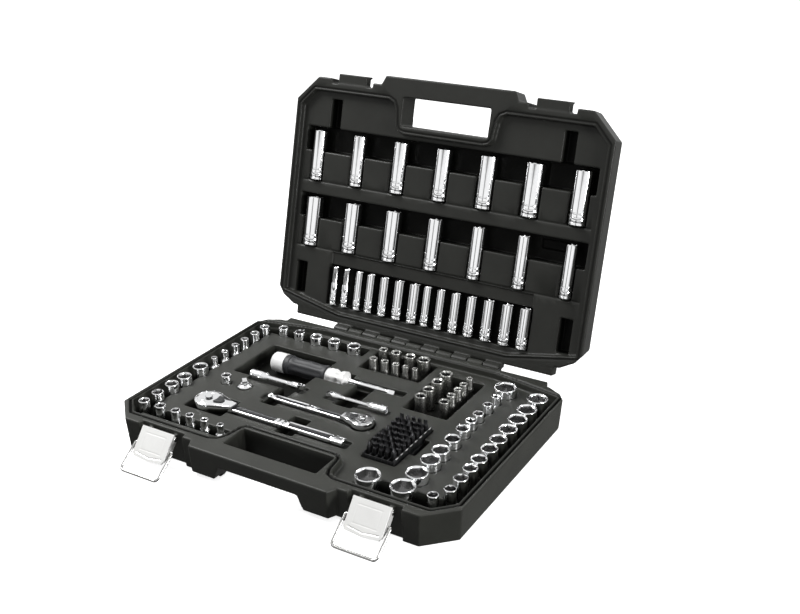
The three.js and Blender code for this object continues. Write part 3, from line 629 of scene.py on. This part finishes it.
DEEP_LOW = 2.8
DEEP_PITCH = 60.0
DEEP_LENGTH = 63.5
DEEP_ROWS = [("deep_socket_upper", 67.5, [9.1, 9.2, 10, 10.2, 11.2, 12, 11.3]),
             ("deep_socket_middle", 153.5, [11.8, 11.2, 11, 10, 9, 8.3, 7.6])]
LOWER_MOUTH_Y = 238.5
LOWER_LENGTH = 49.5
LOWER_ROWS = {
    "deep_socket_lower_metric": [(-133, 5), (-116, 5.2), (-97, 5.5), (-79.5, 5.9), (-59.5, 6.5), (-38, 7.1),
                                 (-16, 7.7)],
    "deep_socket_lower_inch": [(3, 5.6), (22, 6), (42.5, 6.6), (64, 7), (87, 7.5), (111.5, 7.8), (135, 7.6)],
}


KNURL_TEETH = 24
KNURL_DEPTH = 0.28
DRIVE_THREE_EIGHTHS = 9.6
DRIVE_QUARTER = 6.5
THIN_MOUTH_LENGTH = 20


def knurled(radius, z):
    """A ring like circle's, toothed for the band at a deep socket's drive end."""
    points = []
    for i in range(SIDES):
        angle = 2 * math.pi * i / SIDES
        reach = radius - KNURL_DEPTH * (i % (SIDES // KNURL_TEETH))
        points.append((reach * math.cos(angle), reach * math.sin(angle), z))
    return points


def deep_socket(radius, length, nose):
    """A deep socket standing on its mouth: the drive end, with its band, is at z = length.

    nose is the length of the thinner mouth of the smallest ones, or 0."""
    thin = radius - 0.35
    if nose:
        shape = [circle(radius - 1.5, 0), circle(radius - 1.1, 0.5), circle(radius - 1.1, nose),
                 circle(thin, nose + 1.5)]
    else:
        shape = [circle(thin - 0.7, 0), circle(thin, 0.7)]
    mouth = thin if not nose else radius - 1.1
    flats = mouth * 1.48
    bore = [circle(0, 15), circle(mouth * 0.4, 15), polygon(flats, 6, 14), polygon(flats, 6, 1.4),
            circle(mouth * 0.86, 0.15)]
    end = [circle(thin, length - 15), circle(thin - 0.35, length - 14.6), circle(thin - 0.35, length - 13.6),
           circle(radius, length - 13), circle(radius, length - 9.8), circle(radius - 0.35, length - 9.4),
           knurled(radius - 0.05, length - 9), knurled(radius - 0.05, length - 4),
           circle(radius - 0.35, length - 3.6), circle(radius, length - 3.2), circle(radius, length - 0.8),
           circle(radius - 0.8, length)]
    drive = DRIVE_THREE_EIGHTHS if radius > 7.4 else DRIVE_QUARTER
    square = [polygon(drive * 1.12, 4, length), polygon(drive, 4, length - 0.8), polygon(drive, 4, length - 9),
              circle(0, length - 9)]
    return loft(bore + shape + end + square)


def lid_sockets():
    """Each lid socket's (piece, node, radius, length, mouth y, x, nose)."""
    for name, mouth_y, radii in DEEP_ROWS:
        for i, radius in enumerate(radii):
            yield f"{name}_{i + 1}", f"{name}_{i + 1}", radius, DEEP_LENGTH, mouth_y, (i - 3) * DEEP_PITCH, 0
    for node, sockets in LOWER_ROWS.items():
        for i, (x, radius) in enumerate(sockets):
            nose = THIN_MOUTH_LENGTH if radius < 5.4 else 0
            yield f"{node}_{i + 1}", node, radius, LOWER_LENGTH, LOWER_MOUTH_Y, x, nose


def add_lid_sockets():
    for piece, node, radius, length, mouth_y, x, nose in lid_sockets():
        name = piece + "_tube"
        place = LID @ Matrix.Translation((x, mouth_y, DEEP_LOW + radius)) @ ALONG_Y
        # Faces inside the bores take the darker bore chrome: painted shade.
        shaded_bore_faces = ("bore", lambda c, reach=radius * 0.8, end=length: math.hypot(c.x, c.y) < reach
                   and (1.2 < c.z < 16 or end - 10 < c.z < end - 0.7))
        add_piece(name, [deep_socket(radius, length, nose)], place, "chrome", "lid", (node,), inside=shaded_bore_faces)


# ---------------------------------------------------------------- ratchets

BAR_Z = -7.0
HEAD_TOP = -1.5


def section(x, half_width, half_height, groove=0.0, z=BAR_Z, square=3.0):
    """A ring across +X: a rounded rectangle, its top pressed in by groove."""
    points = []
    for i in range(SIDES):
        angle = 2 * math.pi * i / SIDES
        c, s = math.cos(angle), math.sin(angle)
        y = half_width * math.copysign(abs(c) ** (2 / square), c)
        up = half_height * math.copysign(abs(s) ** (2 / square), s)
        if groove and abs(y) < 0.72 * half_width:
            up -= math.copysign(groove, s)
        points.append((x, y, z + up))
    return points


def teardrop(head, neck, reach, steps=30):
    """The head's plan outline: a circle about the origin that draws in towards the neck at x = reach."""
    points = []
    lean = math.radians(52)
    for i in range(steps + 1):
        angle = lean + (2 * math.pi - 2 * lean) * i / steps
        points.append((head * math.cos(angle), head * math.sin(angle)))
    for side in (-1, 1):
        tail = [(reach * 0.62, side * neck * 1.75), (reach * 0.86, side * neck * 1.12), (reach, side * neck)]
        points += tail if side < 0 else tail[::-1]
    return points


def shrunk(outline, amount):
    return [(x * (1 - amount), y * (1 - amount)) for x, y in outline]


def slab(outline, z0, z1, edge):
    """A thick plate with rounded top and bottom edges."""
    def at(inset, z):
        return [(x, y, z) for x, y in shrunk(outline, inset)]
    rings = [[(0, 0, z0)], at(edge * 2, z0), at(edge * 0.6, z0 + edge * 12), at(0, z0 + edge * 30),
             at(0, z1 - edge * 30), at(edge * 0.6, z1 - edge * 12), at(edge * 2, z1), [(0, 0, z1)]]
    return loft(rings)


def ring_eye(middle, thickness, steps=12):
    """A ring lying flat, to hang the ratchet by."""
    around = []
    for i in range(steps + 1):
        angle = 2 * math.pi * i / steps
        around.append(circle(middle + thickness * 0.5 * math.cos(angle), thickness * math.sin(angle)))
    vertices, faces = loft(around[:-1])
    count = len(vertices)
    last = count - SIDES
    closing = [(last + i, last + (i + 1) % SIDES, (i + 1) % SIDES, i) for i in range(SIDES)]
    return vertices, faces + closing


def add_ratchet(prefix, k, reach, x, y, turn, eyelet=False):
    place = CASE @ Matrix.Translation((x, y, 0)) @ Matrix.Rotation(turn, 4, "Z")
    low = -14 * k
    outline = teardrop(17 * k, 5.6 * k, 36 * k)
    head = slab(outline, low, HEAD_TOP, 0.045)
    cover = loft([circle(0, HEAD_TOP - 1)] + [circle(r * k, HEAD_TOP + z) for r, z in
                 ((13.2, -1), (13.2, 0.1), (12.9, 0.3))] + [circle(0, HEAD_TOP + 0.3)])
    bar_half, bar_thick = 5.4 * k, 2.7 * k
    handle = reach - 78 * k
    rings = [[(26 * k, 0, BAR_Z)], section(26 * k, 6.6 * k, 2.9 * k), section(33 * k, 5.8 * k, bar_thick),
             section(35 * k, bar_half, bar_thick), section(36 * k, bar_half, bar_thick, 1.0 * k),
             section(handle - 13 * k, bar_half, bar_thick, 1.0 * k),
             section(handle - 12 * k, bar_half, bar_thick)]
    for start in (handle - 10 * k, handle - 4 * k):
        rings += [section(start - 1.2 * k, 5.0 * k, 2.5 * k), section(start - 0.6 * k, 6.2 * k, 3.6 * k),
                  section(start + 3.0 * k, 6.2 * k, 3.6 * k), section(start + 3.6 * k, 5.0 * k, 2.5 * k)]
    rings += [section(handle + 4 * k, 5.7 * k, 3.1 * k), section(handle + 5.5 * k, 5.9 * k, 3.3 * k, 1.1 * k),
              section(reach - 18 * k, 6.2 * k, 3.5 * k, 1.1 * k), section(reach - 16.5 * k, 6.2 * k, 3.5 * k)]
    if eyelet:
        rings += [section(reach - 10 * k, 4.4 * k, 2.8 * k), [(reach - 9 * k, 0, BAR_Z)]]
        extra = [moved(ring_eye(3.7 * k, 2.3 * k), Matrix.Translation((reach - 6 * k, 0, BAR_Z + 0.4)))]
    else:
        rings += [section(reach - 15 * k, 5.2 * k, 2.6 * k), section(reach - 13.5 * k, 5.2 * k, 2.6 * k),
                  section(reach - 12.5 * k, 6.3 * k, 3.8 * k), section(reach - 1.2 * k, 6.3 * k, 3.8 * k),
                  section(reach, 5.4 * k, 3.1 * k), [(reach, 0, BAR_Z)]]
        extra = []
    screw = turned([(0, 0.1), (1.5 * k, 0.1), (1.5 * k, 0.8), (1.1 * k, 1.05), (0.4 * k, 1.05),
                    (0.4 * k, 0.5), (0, 0.5)], 24)
    out = 9.4 * k
    screws = [moved(screw, Matrix.Translation((out * math.cos(a), out * math.sin(a), HEAD_TOP)))
              for a in (math.radians(100), math.radians(260))]
    panels = ((35.5 * k, handle - 12.5 * k), (handle + 5 * k, reach - 17 * k))
    in_panel = ("inlay_and_gap_shade", lambda c: abs(c.y) < 0.7 * bar_half and any(a < c.x < b for a, b in panels))
    add_piece(prefix + "_frame", [head, cover, loft(rings)] + screws + extra, place, "chrome", prefix,
              (prefix + "_body",), 30, inside=in_panel)
    add_drive(prefix, k, low, place)
    add_ratchet_controls(prefix, k, place)


def add_drive(prefix, k, low, place):
    side = 9.5 * k
    disc = turned([(0, low + 6.8 * k), (9.1 * k, low + 6.8 * k), (9.1 * k, low + 0.4), (8.7 * k, low),
                   (0, low)])
    square = loft([polygon(side, 4, low + 0.5), polygon(side, 4, low - 9.2 * k),
                   polygon(side * 0.86, 4, low - 10 * k), [(0, 0, low - 10 * k)]])
    ball = turned([(0, -1.0), (1.1, -0.7), (1.4, 0), (1.1, 0.7), (0, 1.0)], 16)
    ball = moved(ball, Matrix.Translation((0, side / 2 - 0.1, low - 5.5 * k)) @ ALONG_Y)
    add_piece(prefix + "_square", [disc, square, ball], place, "chrome", prefix + "_drive",
              (prefix + "_drive",))


def add_ratchet_controls(prefix, k, place):
    profile = [(0, -1.4), (2.3 * k, -1.4), (2.3 * k, 0.9), (4.1 * k, 0.95), (4.2 * k, 1.3), (4.2 * k, 2.1),
               (3.9 * k, 2.4), (0, 2.5)]
    button = moved(turned(profile), Matrix.Translation((0, 0, HEAD_TOP)))
    # The side of the button's flange takes the dark inlay finish: painted shade of the gap round the button.
    gap_shade_ring = ("inlay_and_gap_shade", lambda c: math.hypot(c.x, c.y) > 4.05 * k and 0.8 < c.z - HEAD_TOP < 2.2)
    add_piece(prefix + "_push_button", [button], place, "chrome", prefix + "_button",
              (prefix + "_release_button",), inside=gap_shade_ring)
    outline = rounded([(10, -7), (15.5, -5.8), (20.8, -3.4), (20.8, 3.4), (15.5, 5.8), (10, 7), (11.8, 0)], 2.2)
    plate = prism([(x * k, y * k) for x, y in outline], HEAD_TOP + 0.6, HEAD_TOP + 1.7)
    ridge = block(13 * k, 20 * k, -1.2 * k, 1.2 * k, HEAD_TOP + 1.2, HEAD_TOP + 2.15)
    add_piece(prefix + "_thumb_lever", [plate, ridge], place, "switch", prefix + "_lever",
              (prefix + "_direction_lever",), bevel=0.25)


# ---------------------------------------------------------------- spinner, extensions, adapter

def lobed(radius, z, lobes, depth):
    points = []
    for i in range(SIDES):
        angle = 2 * math.pi * i / SIDES
        reach = radius - depth * (0.5 - 0.5 * math.cos(lobes * angle))
        points.append((reach * math.cos(angle), reach * math.sin(angle), z))
    return points


def add_spinner():
    place = CASE @ Matrix.Translation((-139, 212, -11)) @ ALONG_X
    cap = turned([(0, 0), (7, 0.1), (10, 0.9), (11.8, 2.8), (12.3, 6), (12.3, 19.1), (11.9, 19.6), (0, 19.6)])
    add_piece("spinner_cap", [cap], place, "white", "spinner", ("spinner_end_cap",))
    grip = [circle(0, 20.1), circle(11.8, 20.1), circle(12.2, 20.5), circle(12.3, 26), circle(11.3, 27.2)]
    for i in range(25):
        z = 28 + i * 2.05
        waist = 10.9 + 0.6 * math.cos((z - 28) / 49 * 2 * math.pi) ** 2
        grip.append(lobed(waist, z, 8, 1.0 if 1 < i < 23 else 0))
    grip += [circle(11.3, 78.6), circle(0, 79)]
    add_piece("spinner_handle_grip", [loft(grip)], place, "grip", "spinner", ("spinner_grip",))
    collar = [circle(0, 79.7), circle(9.6, 79.7)]
    for i in range(25):
        t = i / 24
        swell = 10.2 + 1.3 * math.cos(3.2 * math.pi * t - 0.9 * math.pi) - 0.4 * t
        lobe_depth = 2.4 * math.sin(math.pi * t) ** 0.5 if 0 < t < 1 else 0
        collar.append(lobed(swell, 80.2 + 25 * t, 6, lobe_depth))
    collar += [circle(8.6, 106.2), circle(5.5, 108.4), circle(4.2, 109.6), circle(0, 109.6)]
    add_piece("spinner_wave_collar", [loft(collar)], place, "white", "spinner", ("spinner_collar",))
    shaft = [circle(0, 110.2), circle(3, 110.2), circle(3, 159), circle(2.6, 160), circle(2.6, 161.5),
             circle(3, 162.2), circle(3, 163), polygon(4.9, 4, 163.2), polygon(4.9, 4, 171.4),
             polygon(4.1, 4, 172), circle(0, 172)]
    add_piece("spinner_blade", [loft(shaft)], place, "chrome", "spinner", ("spinner_shaft",))


def add_extension(node, length, radius, head, square, x, y, direction):
    place = CASE @ Matrix.Translation((x, y, -5)) @ (ALONG_X if direction > 0 else ALONG_MINUS_X)
    place = place @ Matrix.Rotation(math.radians(45), 4, "Z")
    neck, start = radius + 1.2, length - 22
    rings = [circle(0, 0), polygon(square * 0.8, 4, 0), polygon(square, 4, 0.9), polygon(square, 4, 8.2),
             circle(neck - 0.7, 8.4), circle(neck, 9), circle(neck, 16.4), circle(radius, 19)]
    rings += [circle(radius, 24), circle(radius - 0.25, 24.4), circle(radius - 0.25, 25.4),
              circle(radius, 25.8)]
    rings += [circle(radius, start - 3), circle(head - 0.5, start - 0.3), circle(head, start + 0.6),
              circle(head, length - 8), circle(head - 0.4, length - 7.5), circle(head - 0.4, length - 6.5),
              circle(head, length - 6), circle(head, length - 0.7), circle(head - 0.7, length),
              polygon(square * 1.15, 4, length), polygon(square, 4, length - 0.8),
              polygon(square, 4, length - 9), circle(0, length - 9)]
    add_piece(node + "_bar", [loft(rings)], place, "chrome", node, (node,))


def add_adapter():
    place = CASE @ Matrix.Translation((-126, 136, 0))
    body = turned([(0, -17.4), (7.6, -17.4), (8.1, -16.9), (8.1, -7.4), (7.5, -6.7), (4.8, -5.1),
                   (4.5, -3.6), (0, -3.5)])
    stud = loft([polygon(6.2, 4, -3.8), polygon(6.2, 4, 0.7), polygon(5.2, 4, 1.4), [(0, 0, 1.4)]])
    ball = moved(turned([(0, -0.8), (1.0, 0), (0, 0.8)], 16), Matrix.Translation((3.05, 0, -1)) @ ALONG_X)
    add_piece("drive_adapter_body", [body, stud, ball], place, "chrome", "drive_adapter", ("drive_adapter",))


# ---------------------------------------------------------------- bits and holder

BIT_ROWS = 8
BIT_COLUMNS = 5
BIT_PITCH_X = 7.4
BIT_PITCH_Y = 9.6
BIT_X = 93.5
BIT_Y = 116.5


def bit_tip(kind, z):
    """Rings of a bit's working end, above its neck at z."""
    if kind == 0:
        return [lobed(2.3, z, 4, 0.0), lobed(2.3, z + 0.6, 4, 0.6), lobed(1.3, z + 3.6, 4, 0.8),
                [(0, 0, z + 4.0)]]
    if kind == 1:
        return [polygon(4.2, 6, z), polygon(4.2, 6, z + 3.7), polygon(3.6, 6, z + 4.0), [(0, 0, z + 4.0)]]
    if kind == 2:
        return [star_bore(2.4, z), star_bore(2.4, z + 3.8, depth=0.14), [(0, 0, z + 4.0)]]
    flat = [[(px * 1.25, py * squeeze, h) for px, py, h in circle(1.9, z + rise)]
            for rise, squeeze in ((0, 1), (1.5, 0.45), (3.9, 0.22))]
    return flat + [[(0, 0, z + 4.0)]]


def add_bits():
    lo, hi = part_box("bit_holder")
    low, high = [c * 1000 for c in lo], [c * 1000 for c in hi]
    width, top = high[0] - low[0], high[2]
    parts = [block(low[0], high[0], low[1], high[1], low[2], low[2] + 5)]
    wall = 0.9
    for i in range(BIT_COLUMNS + 1):
        x = low[0] + 1.0 + i * (width - 2.0) / BIT_COLUMNS
        parts.append(block(x - wall / 2, x + wall / 2, low[1], high[1], low[2] + 1,
                           top - (0 if i in (0, BIT_COLUMNS) else 1.5)))
    for i in range(BIT_ROWS + 1):
        y = low[1] + 1.4 + i * (high[1] - low[1] - 2.8) / BIT_ROWS
        parts.append(block(low[0] + 0.3, high[0] - 0.3, y - wall / 2, y + wall / 2, low[2] + 1, top - 2.2))
    add_piece("bit_holder_rack", parts, MM, "holder", "bit_holder", ("bit_holder",), bevel=0.2)
    ticks = []
    for i in range(BIT_ROWS):
        y = low[1] + 6 + i * (high[1] - low[1] - 12) / (BIT_ROWS - 1)
        ticks.append(block(high[0] - 0.75, high[0] - 0.05, y - 2.0, y + 1.4, top - 0.3, top + 0.15))
        ticks.append(block(high[0] - 0.75, high[0] - 0.05, y + 2.0, y + 2.6, top - 0.3, top + 0.15))
    add_piece("bit_holder_marks", ticks, MM, "white", "bit_holder")
    for column in range(BIT_COLUMNS):
        x = BIT_X + (column - (BIT_COLUMNS - 1) / 2) * BIT_PITCH_X
        for row in range(BIT_ROWS):
            y = BIT_Y + (row - (BIT_ROWS - 1) / 2) * BIT_PITCH_Y
            rings = [[(0, 0, -14.8)], polygon(5.0, 6, -14.8), polygon(5.7, 6, -14.2), polygon(5.7, 6, 0.6),
                     circle(2.7, 1.5), circle(2.3, 1.8), circle(2.3, 2.3)]
            rings += bit_tip((column + row) % 4, 2.4)
            add_piece(f"bit_{column + 1}_{row + 1}", [loft(rings)], CASE @ Matrix.Translation((x, y, 0)), "bit",
                      "bit_holder", (f"bit_row_{column + 1}",))


# ---------------------------------------------------------------- latches

LATCH_X = 135.0
LEVER_PIVOT = (-1.0, -6.0)
TILT = math.radians(40)
BAIL_PIVOT = (-1.0, -14.0)
BAIL_SWING = math.radians(14)
LEVER_HALF = 22.0
LEVER_TOP = 4.5
LEVER_BOTTOM = -31.2
PLATE_FRONT = -5.0
SHEET = 1.2
WIRE_RADIUS = 1.5


def plate_front(x, z):
    """How far the pressed plate stands back at (x, z): a border, and a chevron groove near its lower end."""
    across = abs(x) / LEVER_HALF
    groove = LEVER_BOTTOM + 4.0 + 2.8 * across
    chevron = max(0.0, 1 - abs(z - groove) / 0.9) if across < 0.8 else 0.0
    inset_x = abs(abs(x) - LEVER_HALF * 0.62)
    inset_z = min(abs(z - (LEVER_TOP - 6.5)), abs(z - (LEVER_BOTTOM + 10.5)))
    inside = abs(x) < LEVER_HALF * 0.62 + 0.7 and LEVER_BOTTOM + 9.8 < z < LEVER_TOP - 5.8
    border = max(0.0, 1 - min(inset_x, inset_z) / 0.7) if inside else 0.0
    return 0.5 * chevron + 0.22 * border


def lever_plate(columns=72, rows=64):
    front, back = [], []
    for j in range(rows + 1):
        v = j / rows
        for i in range(columns + 1):
            u = 2 * i / columns - 1
            z = LEVER_BOTTOM + (LEVER_TOP - LEVER_BOTTOM) * v
            taper = 1 - 0.1 * max(0.0, 1 - v * 5) ** 1.5
            x = LEVER_HALF * u * taper
            z -= 1.8 * (1 - abs(u)) * max(0.0, 1 - v * 4) - 1.8 * max(0.0, 1 - v * 4)
            edge = max(0.0, (abs(u) - 0.965) / 0.035) ** 2 * 0.5
            front.append((x, PLATE_FRONT + plate_front(x, z) + edge, z))
            back.append((x, PLATE_FRONT + SHEET, z))
    width = columns + 1
    count = len(front)
    faces = []
    for j in range(rows):
        for i in range(columns):
            a = j * width + i
            faces.append((a, a + 1, a + width + 1, a + width))
            faces.append((count + a + width, count + a + width + 1, count + a + 1, count + a))
    rim = [i for i in range(width)] + [j * width + columns for j in range(1, rows + 1)]
    rim += [rows * width + i for i in range(columns - 1, -1, -1)] + [j * width for j in range(rows - 1, 0, -1)]
    for a, b in zip(rim, rim[1:] + rim[:1]):
        faces.append((b, a, count + a, count + b))
    return front + back, faces


def lever_flange(x):
    outline = rounded([(PLATE_FRONT + 0.7, LEVER_TOP - 1.2), (2.3, 2.5), (3.3, -1), (3.3, -15), (1.4, -19),
                       (PLATE_FRONT + 0.7, LEVER_BOTTOM + 3.2)], 2.5)
    vertices, faces = prism(outline, x, x + SHEET)
    return [(across, y, z) for y, z, across in vertices], faces


def bail_wire():
    half, length, inside, bend = 25.6, 34.5, 19.6, 5.0
    corners = [(-inside, 0), (-half, 0), (-half, -length), (half, -length), (half, 0), (inside, 0)]
    path = [Vector((x, 0, z)) for x, z in corners]
    route = [path[0]]
    for k, radius in zip(range(1, 5), (2.2, bend, bend, 2.2)):
        here, before, after = path[k], path[k - 1], path[k + 1]
        start = here + (before - here).normalized() * radius
        end = here + (after - here).normalized() * radius
        for step_number in range(7):
            t = step_number / 6
            route.append(start * (1 - t) ** 2 + here * (2 * t * (1 - t)) + end * t ** 2)
    route.append(path[-1])
    rings = [[tuple(route[0])]]
    out = Vector((0, 1, 0))
    for i, point in enumerate(route):
        ahead = (route[min(i + 1, len(route) - 1)] - route[max(i - 1, 0)]).normalized()
        side = ahead.cross(out)
        rings.append([tuple(point + (side * math.cos(a) + out * math.sin(a)) * WIRE_RADIUS)
                      for a in (2 * math.pi * n / 16 for n in range(16))])
    rings.append([tuple(route[-1])])
    return loft(rings)


def add_latches():
    for side, x in (("left", -LATCH_X), ("right", LATCH_X)):
        pivot = CASE @ Matrix.Translation((x, *LEVER_PIVOT))
        lever = pivot @ Matrix.Rotation(-TILT, 4, "X")
        bail = lever @ Matrix.Translation((0, *BAIL_PIVOT)) @ Matrix.Rotation(-BAIL_SWING, 4, "X")
        parts = [lever_plate(), lever_flange(-LEVER_HALF), lever_flange(LEVER_HALF - SHEET)]
        add_piece(f"latch_{side}_plate", parts, lever, "latch", "lever_" + side, ("latch_lever_" + side,), 30)
        add_piece(f"latch_{side}_wire", [bail_wire()], bail, "wire", "bail_" + side,
                  ("latch_bail_" + side,), 60)
        head = [(0, 0), (2.0, 0.05), (2.6, 0.5), (2.6, 0.9), (1.6, 1.0)]
        half = LEVER_HALF + 1.2
        rivet = turned(head + [(1.6, 2 * half - 1.0), (2.6, 2 * half - 0.9), (2.6, 2 * half - 0.5),
                               (2.0, 2 * half - 0.05), (0, 2 * half)], 24)
        place = pivot @ Matrix.Translation((-half, 0, 0)) @ ALONG_X
        add_piece(f"latch_{side}_rivet", [rivet], place, "wire", "base", ("latch_pin_" + side,))


add_camera()
add_studio()
add_case_halves()
add_standing_sockets()
add_lid_sockets()
add_ratchet("large_ratchet", 1.0, 183, -137, 85, 0)
add_ratchet("small_ratchet", 0.76, 129, 41, 129.5, math.pi, eyelet=True)
add_spinner()
add_extension("long_extension", 76, 3.2, 5.5, 6.2, -59, 162, -1)
add_extension("short_extension", 80, 2.5, 4.8, 5.6, -29, 164, 1)
add_adapter()
add_bits()
add_latches()
